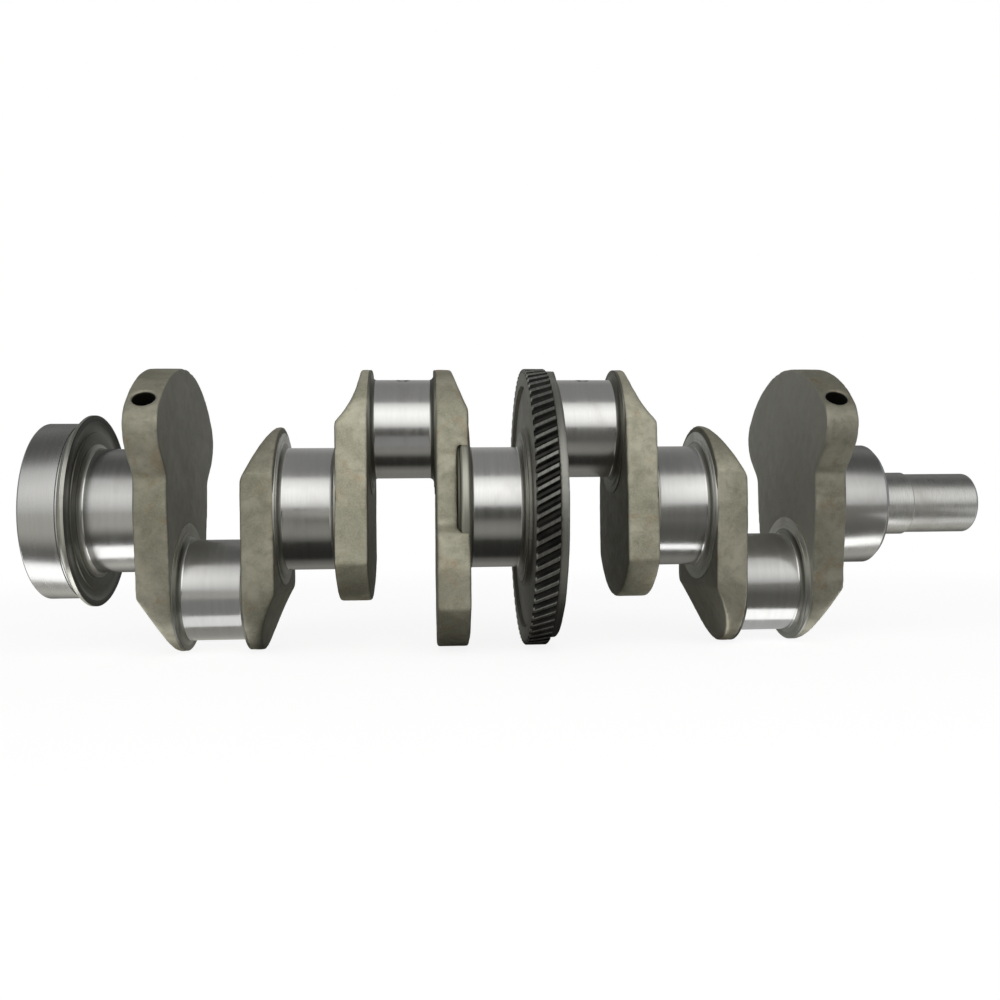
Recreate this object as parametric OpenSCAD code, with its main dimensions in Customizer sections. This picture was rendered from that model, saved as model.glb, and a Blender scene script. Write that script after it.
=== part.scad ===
// Forged four-cylinder crankshaft with five main journals and a balancer drive gear.
// X runs along the main axis towards the nose, Z points the way crankpins 2 and 3 stand,
// and the origin is the centre of main journal 3.

/* [Journals] */
// Distance between neighbouring main journals, which is one cylinder's pitch
cylinder_pitch = 127.5; // [125:0.5:132]
// Crank throw, half the stroke
throw = 55.9; // [54:0.1:58]
// Radius of the main journals
main_r = 42.8; // [41:0.1:44]
// Length of a main journal between its webs
main_len = 37; // [36:0.5:39]
// Radius of the crankpins
pin_r = 34.9; // [33:0.1:36]
// Length of a crankpin between its webs
pin_len = 42.7; // [41:0.1:44]
// Radius of the rolled fillet at each end of a journal
fillet_r = 3.3; // [2:0.1:4]

/* [Webs] */
// Half the width of a plain web across its flat sides
web_half_w = 53; // [50:0.5:56]
// Radius of the rounded end beside a crankpin
pin_end_r = 50; // [49:0.5:52]
// Largest radius of the crankshaft from the main axis
sweep_r = 98; // [96:0.1:100]
// Radius of the short main end of webs 2 and 7
short_end_r = 57.5; // [56:0.5:60]
// Radius of the deeper main end of webs 3 and 6
deep_end_r = 65; // [63:0.5:68]
// Height of each of the two turned steps round a journal
boss_step = 0.4; // [0.2:0.1:0.6]

/* [Counterweights] */
// Radius of the counterweights
counter_r = 98; // [96:0.5:99]
// Half width of the end counterweights, on webs 1 and 8, to the corner before it is rounded
end_counter_half_w = 83; // [80:1:88]
// Half width of the waist of webs 1 and 8
end_waist_half_w = 57; // [55:0.5:60]
// Half width of the centre counterweight, on web 5
centre_counter_half_w = 73; // [70:1:78]
// Radius of the balance drilling in the end counterweights
balance_hole_r = 7; // [6:0.1:9]
// Depth of the balance drilling
balance_hole_depth = 26; // [15:1:35]
// Angle of the balance drilling from the counterweight's centre line
balance_hole_angle = 44.5; // [35:0.5:50]

/* [Balancer gear] */
// Number of teeth
gear_teeth = 72; // [60:1:84]
// Radius over the teeth
gear_tip_r = 98; // [96:0.5:99]
// Radius of the shrink-fit seat on web 4
gear_seat_r = 86; // [84:0.5:88]
// Width of the gear
gear_w = 15.4; // [12:0.1:16]
// Helix angle of the teeth
gear_helix = 28; // [20:1:32]
// Radius of the round shoulder behind the gear
shoulder_r = 93.2; // [91:0.1:94]

/* [Rear end] */
// Radius of the oil-seal journal
seal_r = 60.3; // [59:0.1:62]
// Length of the oil-seal journal
seal_len = 25; // [24:0.5:30]
// Radius of the oil slinger
slinger_r = 66; // [65:0.1:69]
// Width of the slinger's rim
slinger_rim = 2.8; // [2.5:0.1:5]
// Circle of the flywheel screws
flange_pcd = 95; // [90:0.5:100]
// Radius of a tapped flywheel hole
flange_hole_r = 5.75; // [5:0.05:6.5]
// Depth of a tapped flywheel hole
flange_hole_depth = 22; // [15:1:24]
// Radius of the pilot bore
pilot_r = 20; // [17:0.5:24]
// Depth of the pilot bore
pilot_depth = 15; // [10:1:20]
// Radius of the flywheel dowel
dowel_r = 6.35; // [5:0.05:7]
// Radius of the dowel's pressed-in end
dowel_press_r = 7.15; // [6.5:0.05:8]
// How far the dowel stands out of the flange
dowel_out = 9; // [6:0.5:12]

/* [Nose] */
// Radius of the timing-gear seat
gear_fit_r = 22.6; // [22:0.1:24]
// Length of the timing-gear seat
gear_fit_len = 28; // [20:0.5:30]
// Radius of the pulley seat
pulley_fit_r = 21.4; // [20:0.1:22]
// Length of the pulley seat
pulley_fit_len = 48.5; // [40:0.5:60]
// Radius of the tapped hole for the pulley screw
nose_hole_r = 7.2; // [6:0.1:8]
// Depth of the tapped hole for the pulley screw
nose_hole_depth = 45; // [35:1:50]
// Width of the two half-moon keys
key_w = 6.35; // [5:0.05:8]
// Radius of the two half-moon keys
key_r = 11; // [9:0.5:12]
// How far a key stands out of its seat
key_out = 2.8; // [2:0.1:3.5]

/* [Oil drillings] */
// Radius of an oil drilling
oil_r = 3.2; // [2.5:0.1:4]
// Radius of the countersunk mouth of an oil drilling
oil_mouth_r = 5.2; // [4:0.1:6]
// Angle of a drilling's mouth round the crankpin, from straight outward
oil_angle = 16; // [0:1:20]

/* [Hidden] */

ground_fn = 96;
arc_steps = 8;
eps = 0.01;

// Where things are along the main axis
main_x = [for (i = [2:-1:-2]) i * cylinder_pitch];
pin_x = [for (i = [1.5:-1:-1.5]) i * cylinder_pitch];
pin_side = [-1, 1, 1, -1];
web_gap = (cylinder_pitch - main_len - pin_len) / 2;
boss_h = 2 * boss_step;
plate_t = web_gap - 2 * boss_h;
nose_x = main_x[0] + main_len / 2;
rear_x = main_x[4] - main_len / 2;

// Turned steps round the journals, outer and inner
main_boss_r = [main_r + fillet_r + 7, main_r + fillet_r + 2.4];
pin_boss_r = [pin_r + fillet_r + 8.2, pin_r + fillet_r + 3.2];

// Rear end stations
collar_len = 0.5;
collar_r = 54.4;
slinger_cone = 3.7;
slinger_dish_r = 59;
slinger_dish = 0.8;
slinger_x = rear_x - collar_len;
seal_x = slinger_x - slinger_rim - slinger_cone;
flange_x = seal_x - seal_len;
edge_chamfer = 1.2;
dowel_in = 14;

// Nose stations
step_x = nose_x + gear_fit_len;
tip_x = step_x + pulley_fit_len;
nose_chamfer = 2.5;
shoulder_chamfer = 3;
nose_mouth_r = nose_hole_r + 3;
gear_key_x = nose_x + gear_fit_len / 2 + 1;
pulley_key_x = step_x + pulley_fit_len * 0.4;
key_drop = 1.5;

// Thrust collar beside main journal 3, with the groove behind it, open down to pocket_low
thrust_r = 64;
thrust_len = 7;
groove_r = 61.4;
groove_len = 1.6;
pocket_r = 69;
pocket_low = -12;

// The gear's place on web 4, from the main journal's end
gear_start = 1.5;
gear_x = main_x[2] + main_len / 2 + gear_start;
tooth_h = 2.1 * gear_tip_r / gear_teeth;
tip_land = 0.34;
root_land = 0.62;

// Points of an arc of radius r about c, from angle a0 to a1
function arc(c, r, a0, a1, n = arc_steps) =
    [for (i = [0:n]) let (a = a0 + (a1 - a0) * i / n) c + r * [cos(a), sin(a)]];

// Points of the arc of radius r from p to q that bows to the right of the way from p to q
function bow(p, q, r, n = arc_steps) =
    let (
        d = norm(q - p),
        u = (q - p) / d,
        left = [-u.y, u.x],
        c = (p + q) / 2 + sqrt(r * r - d * d / 4) * left,
        a0 = atan2(p.y - c.y, p.x - c.x),
        half = asin(d / 2 / r)
    )
    arc(c, r, a0, a0 + 2 * half, n);

// Points of a polygon whose corners, given as [x, y, radius], are rounded
function rounded(pts) =
    let (n = len(pts))
    [for (i = [0:n - 1])
        let (
            b = [pts[i].x, pts[i].y],
            a = [pts[(i + n - 1) % n].x, pts[(i + n - 1) % n].y] - b,
            c = [pts[(i + 1) % n].x, pts[(i + 1) % n].y] - b,
            u = a / norm(a),
            v = c / norm(c),
            half = acos(u * v) / 2,
            r = pts[i].z,
            o = b + (u + v) / norm(u + v) * r / sin(half),
            p = b + u * r / tan(half) - o,
            q = b + v * r / tan(half) - o,
            a0 = atan2(p.y, p.x),
            turn = (atan2(q.y, q.x) - a0 + 540) % 360 - 180
        )
        each r == 0 ? [b] : arc(o, r, a0, a0 + turn)
    ];

// Places a body of revolution, drawn along Z, on the X axis
module on_x(x) {
    translate([x, 0, 0]) rotate([0, 90, 0]) children();
}

// Turns a profile of [radius, position] points about the X axis
module turned(x, profile) {
    on_x(x) rotate_extrude($fn = ground_fn) polygon(profile);
}

// A round disc or shaft on the X axis
module disc(x, r, len) {
    on_x(x) cylinder(h = len, r = r, $fn = ground_fn);
}

// A ground journal with a rolled fillet that flares at each end
module journal(x, r, len) {
    turned(x, concat(
        [[0, 0]],
        arc([r + fillet_r, fillet_r], fillet_r, 270, 180),
        arc([r + fillet_r, len - fillet_r], fillet_r, 180, 90),
        [[0, len]]
    ));
}

// A countersink that meets a journal's surface at z = 0
module oil_mouth() {
    sink = 1.6;
    translate([0, 0, -sink]) cylinder(h = 2 * sink, r1 = oil_r, r2 = 2 * oil_mouth_r - oil_r, $fn = 32);
}

// The drilling from the outer side of crankpin p, through a web, to the far side of main journal m
module oil_drilling(p, m) {
    over = 4;
    run = pin_x[p] - main_x[m];
    mouth = throw + pin_r * cos(oil_angle);
    sway = pin_r * sin(oil_angle);
    height = norm([mouth, sway]) + main_r;
    translate([main_x[m], 0, 0])
    rotate([pin_side[p] > 0 ? 0 : 180, 0, 0]) {
        rotate([atan2(sway, mouth), 0, 0]) {
            translate([0, 0, -main_r])
            rotate([0, atan2(run, height), 0])
            translate([0, 0, -over])
            cylinder(h = norm([run, height]) + 2 * over, r = oil_r, $fn = 32);
            rotate([180, 0, 0]) translate([0, 0, main_r]) oil_mouth();
        }
        translate([run, 0, throw])
        rotate([oil_angle, 0, 0])
        translate([0, 0, pin_r])
        oil_mouth();
    }
}

// Which main journal each crankpin is fed from
oil_source = [0, 1, 3, 4];

// Main journal 1 ends in a chamfered shoulder at the nose
module shoulder_journal(x, r, len) {
    turned(x, concat(
        [[0, 0]],
        arc([r + fillet_r, fillet_r], fillet_r, 270, 180),
        [[r, len - shoulder_chamfer], [r - shoulder_chamfer, len], [0, len]]
    ));
}

module main_journal(i) {
    color("gainsboro")
    difference() {
        if (i == 0)
            shoulder_journal(main_x[i] - main_len / 2, main_r, main_len);
        else
            journal(main_x[i] - main_len / 2, main_r, main_len);
        for (p = [0:3])
            if (oil_source[p] == i) oil_drilling(p, i);
    }
}

module crankpin(i) {
    color("gainsboro")
    difference() {
        translate([0, 0, pin_side[i] * throw]) journal(pin_x[i] - pin_len / 2, pin_r, pin_len);
        oil_drilling(i, oil_source[i]);
    }
}

// A web is drawn with its main journal's end at x = 0, its crankpin towards +x and its throw
// towards +z. This moves web w (1 to 8) to its place.
function web_main(w) = floor(w / 2);
function web_pin(w) = ceil(w / 2) - 1;
function web_way(w) = w % 2 == 0 ? 1 : -1;

module place_web(w) {
    way = web_way(w);
    side = pin_side[web_pin(w)];
    translate([main_x[web_main(w)] + way * main_len / 2, 0, 0])
    mirror([way > 0 ? 0 : 1, 0, 0])
    mirror([0, 0, side > 0 ? 0 : 1])
    children();
}

// Extrudes an outline of [across, along the throw] along X, over the plate's thickness
module plate() {
    translate([boss_h, 0, 0]) rotate([90, 0, 90]) linear_extrude(plate_t) children();
}

// Extrudes a side profile of [x, along the throw] across the whole crankshaft
module across() {
    width = 2 * sweep_r + 10;
    translate([boss_h, width / 2, 0]) rotate([90, 0, 0]) linear_extrude(width) children();
}

// The rounded end beside the crankpin, down to the main axis
module pin_end_outline(half_w) {
    centre = sweep_r - pin_end_r;
    translate([0, centre]) circle(r = pin_end_r, $fn = ground_fn);
    polygon([[-half_w, 0], [half_w, 0], [pin_end_r, centre], [-pin_end_r, centre]]);
}

// A round main end of radius r, cut off at the web's flat sides
module main_end_outline(r, half_w) {
    intersection() {
        circle(r = r, $fn = ground_fn);
        translate([-half_w, -r]) square([2 * half_w, r + eps]);
    }
}

// A counterweight opposite the crankpin: it widens from the waist between low and high, with
// corners rounded to the radii hollow and bulge, and its sides slope in by slope_in towards the
// round rim. A ledge, as [half width, depth], may stand between the waist and the widest place.
module counterweight_outline(waist, half_w, low, high, hollow, bulge, slope_in, ledge = []) {
    rim = high + 36;
    ledge_bend = 5;
    side = concat(
        [[waist, eps, 0], [waist, -low, hollow]],
        len(ledge) > 0 ? [[ledge[0], -ledge[1], ledge_bend]] : [],
        [[half_w, -high, bulge], [half_w - slope_in, -rim, 0], [half_w - slope_in, -counter_r, 0]]
    );
    last = len(side) - 1;
    other_side = [for (i = [0:last]) [-side[last - i].x, side[last - i].y, side[last - i].z]];
    intersection() {
        circle(r = counter_r, $fn = ground_fn);
        polygon(rounded(concat(side, other_side)));
    }
}

// Side profile of the material: the main side is relieved from the height start to the tip,
// where it is tip_cut deep, along an arc of radius curve; slant cuts the pin side of the main end
module web_profile(start, tip_cut, curve, slant = 0) {
    top = sweep_r + 1;
    low = -sweep_r - 1;
    slant_from = 18;
    slant_land = 4.6;
    foot = slant > 0
        ? [[plate_t, -slant_from], [slant_land, -slant], [slant_land, low], [0, low]]
        : [[plate_t, low], [0, low]];
    polygon(concat(
        bow([0, start], [tip_cut, sweep_r - 1], curve),
        [[tip_cut, top], [plate_t, top]],
        foot
    ));
}

// The two turned steps round the main journal and round the crankpin, where they end with the
// web's own edge and at most reach from the main axis
module bosses(reach = sweep_r + 1) {
    disc(boss_step, main_boss_r[0], boss_step + eps);
    disc(0, main_boss_r[1], boss_h + eps);
    intersection() {
        translate([0, 0, throw]) {
            disc(web_gap - boss_h - eps, pin_boss_r[0], boss_step + eps);
            disc(web_gap - boss_h - eps, pin_boss_r[1], boss_h + eps);
        }
        disc(boss_h, reach, web_gap);
        translate([boss_h, 0, 0]) rotate([90, 0, 90]) linear_extrude(web_gap) pin_end_outline(web_half_w);
    }
}

module web_oilway(w) {
    if (oil_source[web_pin(w)] == web_main(w)) oil_drilling(web_pin(w), web_main(w));
}

// Webs 2 and 7: short main end, slanted on the pin side
module slanted_web(w) {
    difference() {
        place_web(w) {
            intersection() {
                plate() {
                    pin_end_outline(web_half_w);
                    main_end_outline(short_end_r, web_half_w);
                }
                across() web_profile(57, 13.5, 120, short_end_r);
            }
            bosses();
        }
        web_oilway(w);
    }
}

// Webs 3 and 6: deeper main end, strongly relieved at the pin end
module relieved_web(w) {
    difference() {
        place_web(w) {
            intersection() {
                plate() {
                    pin_end_outline(web_half_w);
                    main_end_outline(deep_end_r, web_half_w);
                }
                across() web_profile(56.5, 15, 52);
            }
            bosses();
        }
        web_oilway(w);
    }
}

// Webs 1 and 8: the end counterweights, each with one balance drilling in its rim
module end_web(w) {
    waist_low = 21;
    waist_high = 48;
    difference() {
        place_web(w) {
            intersection() {
                plate() {
                    pin_end_outline(end_waist_half_w);
                    counterweight_outline(
                        end_waist_half_w, end_counter_half_w, waist_low, waist_high, 4, 24, 20
                    );
                }
                across() web_profile(58.5, 17.5, 150);
            }
            bosses();
        }
        web_oilway(w);
        balance_hole(main_x[web_main(w)] + web_way(w) * (main_len + web_gap) / 2);
    }
}

// The balance drilling, radial in the rim of an upper counterweight, with a drill point
module balance_hole(x) {
    rotate([balance_hole_angle, 0, 0]) translate([x, 0, counter_r - balance_hole_depth]) {
        cylinder(h = balance_hole_depth + 2, r = balance_hole_r, $fn = 48);
        translate([0, 0, -balance_hole_r / 2])
        cylinder(h = balance_hole_r / 2 + eps, r1 = 0, r2 = balance_hole_r, $fn = 48);
    }
}

// Web 5: the centre counterweight, round the thrust collar, with the collar's groove above pocket_low
module centre_web() {
    waist = 55;
    widen_low = 12;
    widen_high = 39.5;
    ledge = [62.5, 17];
    place_web(5) {
        difference() {
            union() {
                intersection() {
                    plate() {
                        pin_end_outline(waist);
                        counterweight_outline(
                            waist, centre_counter_half_w, widen_low, widen_high, 6, 8, 2, ledge
                        );
                    }
                    across() web_profile(65, 10.5, 160);
                }
                bosses();
            }
            disc(-eps, thrust_r, thrust_len + eps);
            disc(thrust_len - eps, groove_r, groove_len + eps);
            intersection() {
                disc(thrust_len - eps, pocket_r, groove_len + eps);
                translate([0, -pocket_r, pocket_low]) cube([web_gap, 2 * pocket_r, 2 * pocket_r]);
            }
        }
    }
}

// Web 4: round, turned down to seat the ring gear against a shoulder
module gear_web() {
    gear_end = gear_start + gear_w;
    dish = 3;
    hub_r = 57;
    top_r = sweep_r - 1.5;
    place_web(4) {
        disc(boss_h, hub_r, dish + eps);
        disc(boss_h + dish, gear_seat_r, gear_end - boss_h - dish + eps);
        disc(gear_end, shoulder_r, web_gap - boss_h - gear_end);
        intersection() {
            plate() pin_end_outline(web_half_w - 4);
            disc(gear_end, top_r, web_gap);
        }
        bosses(top_r);
    }
}

module crank_web(w) {
    color([0.52, 0.51, 0.45]) {
        if (w == 2 || w == 7) slanted_web(w);
        if (w == 3 || w == 6) relieved_web(w);
        if (w == 1 || w == 8) end_web(w);
        if (w == 5) centre_web();
        if (w == 4) gear_web();
    }
}

// The turned collar that takes the thrust washers, and the groove behind it
module thrust_collar() {
    face = main_x[2] - main_len / 2;
    color("lightgray") {
        disc(face - thrust_len, thrust_r, thrust_len);
        disc(face - thrust_len - groove_len, groove_r, groove_len + eps);
    }
}

// One tooth gap after another round the rim, as a flat outline
function rim_outline() =
    let (pitch = 360 / gear_teeth, root_r = gear_tip_r - tooth_h)
    [for (i = [0:gear_teeth - 1], c = [
        [root_r, root_land - 1],
        [gear_tip_r, -tip_land / 2 + 0.01],
        [gear_tip_r, tip_land / 2],
        [root_r, 1 - root_land]
    ])
        let (a = (i + c[1]) * pitch) c[0] * [cos(a), sin(a)]];

module balancer_drive_gear() {
    twist = gear_w * tan(gear_helix) / gear_tip_r * 180 / PI;
    color([0.16, 0.16, 0.15])
    difference() {
        on_x(gear_x) linear_extrude(gear_w, twist = twist, slices = 5) polygon(rim_outline());
        disc(gear_x - 1, gear_seat_r, gear_w + 2);
    }
}

module rear_seal_journal() {
    color("silver")
    difference() {
        turned(flange_x, [
            [0, 0], [seal_r - edge_chamfer, 0], [seal_r, edge_chamfer],
            [seal_r, seal_len], [0, seal_len]
        ]);
        disc(flange_x - 1, pilot_r, pilot_depth + 1);
        for (i = [0:5])
            rotate([60 * i + 30, 0, 0]) translate([0, 0, flange_pcd / 2])
            disc(flange_x - 1, flange_hole_r, flange_hole_depth + 1);
        dowel_hole();
    }
}

// The dowel stands on the flywheel screws' circle, between two of them
module dowel_hole() {
    translate([0, 0, flange_pcd / 2]) disc(flange_x - 1, dowel_press_r, dowel_in + 1);
}

module flywheel_dowel() {
    bevel = 1;
    color("darkgray")
    translate([0, 0, flange_pcd / 2])
    turned(flange_x - dowel_out, [
        [0, 0], [dowel_r - bevel, 0], [dowel_r, bevel], [dowel_r, dowel_out],
        [dowel_press_r, dowel_out], [dowel_press_r, dowel_out + dowel_in], [0, dowel_out + dowel_in]
    ]);
}

// The slinger's disc and cone, with the collar between it and main journal 5
module oil_slinger() {
    total = slinger_cone + slinger_rim + collar_len;
    rim_end = slinger_cone + slinger_rim;
    color([0.35, 0.35, 0.33])
    turned(seal_x, [
        [0, 0], [seal_r + 1, 0], [slinger_r, slinger_cone], [slinger_r, rim_end],
        [slinger_dish_r + 3, rim_end], [slinger_dish_r, rim_end - slinger_dish],
        [collar_r, rim_end - slinger_dish], [collar_r, rim_end + collar_len / 2],
        [main_boss_r[1], rim_end + collar_len / 2], [main_boss_r[1], total], [0, total]
    ]);
}

// The round blank of a half-moon key, which is also its slot, in a nose seat of radius r
module key_shape(x, r) {
    translate([x, r + key_out + key_drop, 0])
    cylinder(h = key_w, r = key_r, center = true, $fn = 64);
}

module key_piece(x, r) {
    color("dimgray")
    intersection() {
        key_shape(x, r);
        translate([x - key_r, 0, -key_w]) cube([2 * key_r, r + key_out, 2 * key_w]);
    }
}

module timing_gear_seat() {
    relief = 1.5;
    color("silver")
    difference() {
        turned(nose_x, [
            [0, 0], [gear_fit_r + 1, 0], [gear_fit_r, relief],
            [gear_fit_r, gear_fit_len - 1], [gear_fit_r - 1, gear_fit_len], [0, gear_fit_len]
        ]);
        key_shape(gear_key_x, gear_fit_r);
    }
}

module pulley_seat() {
    color("silver")
    difference() {
        turned(step_x, [
            [0, 0], [pulley_fit_r, 0], [pulley_fit_r, pulley_fit_len - nose_chamfer],
            [pulley_fit_r - nose_chamfer, pulley_fit_len], [0, pulley_fit_len]
        ]);
        key_shape(pulley_key_x, pulley_fit_r);
        disc(tip_x - nose_hole_depth, nose_hole_r, nose_hole_depth + 1);
        turned(tip_x - 3, [[0, 0], [nose_hole_r, 0], [nose_mouth_r, 3], [nose_mouth_r, 4], [0, 4]]);
    }
}

rear_seal_journal();
oil_slinger();
thrust_collar();
balancer_drive_gear();
main_journal(0);  // main_journal_1
main_journal(1);  // main_journal_2
main_journal(2);  // main_journal_3
main_journal(3);  // main_journal_4
main_journal(4);  // main_journal_5
crankpin(0);  // crankpin_1
crankpin(1);  // crankpin_2
crankpin(2);  // crankpin_3
crankpin(3);  // crankpin_4
crank_web(1);  // crank_web_1
crank_web(2);  // crank_web_2
crank_web(3);  // crank_web_3
crank_web(4);  // crank_web_4
crank_web(5);  // crank_web_5
crank_web(6);  // crank_web_6
crank_web(7);  // crank_web_7
crank_web(8);  // crank_web_8
timing_gear_seat();
pulley_seat();
key_piece(gear_key_x, gear_fit_r);  // timing_gear_key
key_piece(pulley_key_x, pulley_fit_r);  // pulley_key
flywheel_dowel();
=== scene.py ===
import math

import bmesh
import bpy
import numpy as np
from mathutils import Matrix, Vector, noise


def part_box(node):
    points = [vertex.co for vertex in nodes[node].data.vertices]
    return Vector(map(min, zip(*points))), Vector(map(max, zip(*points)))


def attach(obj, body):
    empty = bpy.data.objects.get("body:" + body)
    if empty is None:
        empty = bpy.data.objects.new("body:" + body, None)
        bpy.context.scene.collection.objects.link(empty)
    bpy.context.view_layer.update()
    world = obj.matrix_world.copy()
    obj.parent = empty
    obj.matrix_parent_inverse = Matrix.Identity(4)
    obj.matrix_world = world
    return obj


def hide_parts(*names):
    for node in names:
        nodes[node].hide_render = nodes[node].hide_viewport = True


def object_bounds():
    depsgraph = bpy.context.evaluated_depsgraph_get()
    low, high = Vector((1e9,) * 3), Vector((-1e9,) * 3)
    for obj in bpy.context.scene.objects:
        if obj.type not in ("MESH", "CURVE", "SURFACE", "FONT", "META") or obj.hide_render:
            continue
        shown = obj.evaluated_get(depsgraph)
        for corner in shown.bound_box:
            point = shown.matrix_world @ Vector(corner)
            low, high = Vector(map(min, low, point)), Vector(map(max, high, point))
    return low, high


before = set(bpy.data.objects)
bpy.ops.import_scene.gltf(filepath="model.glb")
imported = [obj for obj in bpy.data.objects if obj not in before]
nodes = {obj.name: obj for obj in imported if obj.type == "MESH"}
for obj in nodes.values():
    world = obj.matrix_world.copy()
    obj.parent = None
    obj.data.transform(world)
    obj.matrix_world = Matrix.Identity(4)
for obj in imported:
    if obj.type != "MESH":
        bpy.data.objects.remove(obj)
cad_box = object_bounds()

# Lengths are in millimetres where MM turns them into metres. The materials and the studio use metres.
MM = 0.001
SEG = 256
TOOL_SEG = 48
WELD = 0.002 * MM


# ------------------------------------------------------------------ materials
class Nodes:
    """A short way to write a material's node tree."""

    def __init__(self, name):
        self.mat = bpy.data.materials.new(name)
        self.mat.use_nodes = True
        self.tree = self.mat.node_tree
        self.tree.nodes.clear()
        self.pos = self.add("TexCoord").outputs["Object"]

    def add(self, kind):
        return self.tree.nodes.new("ShaderNode" + kind)

    def link(self, a, b):
        self.tree.links.new(a, b)

    def put(self, socket, value):
        if isinstance(value, bpy.types.NodeSocket):
            self.link(value, socket)
        else:
            socket.default_value = value

    def math(self, op, a, b=0.0, clamp=False):
        n = self.add("Math")
        n.operation = op
        n.use_clamp = clamp
        self.put(n.inputs[0], a)
        self.put(n.inputs[1], b)
        return n.outputs[0]

    def length(self, a, b):
        """The distance that two measures at right angles make."""
        return self.math("SQRT", self.math("ADD", self.math("MULTIPLY", a, a), self.math("MULTIPLY", b, b)))

    def xyz(self, vector=None):
        n = self.add("SeparateXYZ")
        self.put(n.inputs[0], vector or self.pos)
        return n.outputs[0], n.outputs[1], n.outputs[2]

    def combine(self, x, y, z):
        n = self.add("CombineXYZ")
        for socket, value in zip(n.inputs, (x, y, z)):
            self.put(socket, value)
        return n.outputs[0]

    def noise(self, vector, scale, detail=4.0, rough=0.55, distort=0.0):
        n = self.add("TexNoise")
        self.put(n.inputs["Vector"], vector)
        n.inputs["Scale"].default_value = scale
        n.inputs["Detail"].default_value = detail
        n.inputs["Roughness"].default_value = rough
        n.inputs["Distortion"].default_value = distort
        return n.outputs["Fac"]

    def ramp(self, value, lo, hi, out_lo=0.0, out_hi=1.0):
        n = self.add("MapRange")
        n.clamp = True
        n.interpolation_type = "SMOOTHSTEP"
        for socket, v in zip(n.inputs, (value, lo, hi, out_lo, out_hi)):
            self.put(socket, v)
        return n.outputs[0]

    def mix(self, fac, a, b):
        n = self.add("Mix")
        n.data_type = "RGBA"
        self.put(n.inputs[0], fac)
        self.put(n.inputs[6], a)
        self.put(n.inputs[7], b)
        return n.outputs[2]

    def bump(self, height, distance, strength, normal=None):
        n = self.add("Bump")
        n.inputs["Strength"].default_value = strength
        n.inputs["Distance"].default_value = distance
        self.put(n.inputs["Height"], height)
        if normal is not None:
            self.link(normal, n.inputs["Normal"])
        return n.outputs[0]

    def diffuse(self, color):
        n = self.add("BsdfDiffuse")
        n.inputs[0].default_value = color
        return n.outputs[0]

    def glow(self, strength, color=(1.0, 1.0, 1.0, 1.0)):
        n = self.add("Emission")
        self.put(n.inputs[0], color)
        n.inputs[1].default_value = strength
        return n.outputs[0]

    def joined(self, kind, *values):
        """A node that takes shaders, and for MixShader first the share of the second."""
        n = self.add(kind)
        for socket, value in zip(n.inputs, values):
            self.link(value, socket)
        return n.outputs[0]

    def shown(self, shader):
        self.link(shader, self.add("OutputMaterial").inputs[0])
        return self.mat

    def surface(self, color, rough, metallic, normal):
        n = self.add("BsdfPrincipled")
        self.put(n.inputs["Base Color"], color)
        self.put(n.inputs["Roughness"], rough)
        n.inputs["Metallic"].default_value = metallic
        self.link(normal, n.inputs["Normal"])
        return self.shown(n.outputs[0])


def rgb(r, g, b):
    return (r, g, b, 1.0)


def turning(m, centre_z, fine):
    """Lines that a lathe or a grinding wheel leaves: fine across, long round the axis. Also the radius."""
    drift = 0.0016
    face_share = 1.7
    x, y, z = m.xyz()
    dz = m.math("SUBTRACT", z, centre_z)
    r = m.length(y, dz)
    way = m.math("ARCTAN2", dz, y)
    along = m.math("MULTIPLY", m.math("COSINE", way), drift)
    round_it = m.math("MULTIPLY", m.math("SINE", way), drift)
    across = m.math("ADD", x, m.math("MULTIPLY", r, face_share))
    lines = m.noise(m.combine(across, along, round_it), fine, 5.0, 0.65)
    return lines, r


def ground_steel(name, centre_z=0.0, tone=0.79, rough_at=0.17):
    m = Nodes(name)
    lines, _ = turning(m, centre_z, 1900.0)
    broad, _ = turning(m, centre_z, 260.0)
    film = m.noise(m.pos, 26.0, 4.0, 0.6, 0.4)
    shade = m.math("ADD", m.math("MULTIPLY", lines, 0.5), m.math("MULTIPLY", broad, 0.5))
    shade = m.ramp(shade, 0.32, 0.68)
    dark = rgb(tone * 0.92, tone * 0.92, tone * 0.905)
    light = rgb(tone, tone, tone * 0.985)
    color = m.mix(shade, dark, light)
    color = m.mix(m.ramp(film, 0.5, 0.75, 0.0, 0.35), color, rgb(tone * 0.78, tone * 0.76, tone * 0.7))
    rough = m.math("ADD", m.ramp(broad, 0.3, 0.7, rough_at, rough_at + 0.05),
                   m.ramp(film, 0.45, 0.8, 0.0, 0.07))
    return m.surface(color, rough, 1.0, m.bump(broad, 0.00003, 0.06))


def turned_steel(name, centre_z=0.0, tone=0.6, rough_at=0.34, coarse=900.0, relief=0.2, warm=0.97, low=1.0):
    """Turned steel. Its colour falls to low times its tone over the reach on both sides of centre_z: painted
    shade, darker towards the bottom.
    """
    reach = 0.04
    m = Nodes(name)
    lines, _ = turning(m, centre_z, coarse)
    film = m.noise(m.pos, 34.0, 5.0, 0.6, 0.5)
    shade = m.ramp(lines, 0.3, 0.7)
    color = m.mix(shade, rgb(tone * 0.8, tone * 0.8, tone * warm * 0.78), rgb(tone, tone, tone * warm))
    color = m.mix(m.ramp(film, 0.48, 0.78, 0.0, 0.5), color, rgb(tone * 0.6, tone * 0.58, tone * 0.5))
    # Painted shade: the colour darkens towards the bottom, down to low times its tone.
    if low < 1.0:
        shade_below = m.ramp(m.xyz()[2], centre_z + reach, centre_z - reach)
        color = m.mix(shade_below, color, rgb(tone * low, tone * low, tone * low * 0.9))
    rough = m.math("ADD", m.ramp(lines, 0.3, 0.7, rough_at, rough_at + 0.08),
                   m.ramp(film, 0.45, 0.8, 0.0, 0.1))
    return m.surface(color, rough, 1.0, m.bump(lines, 0.00005, relief))


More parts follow.
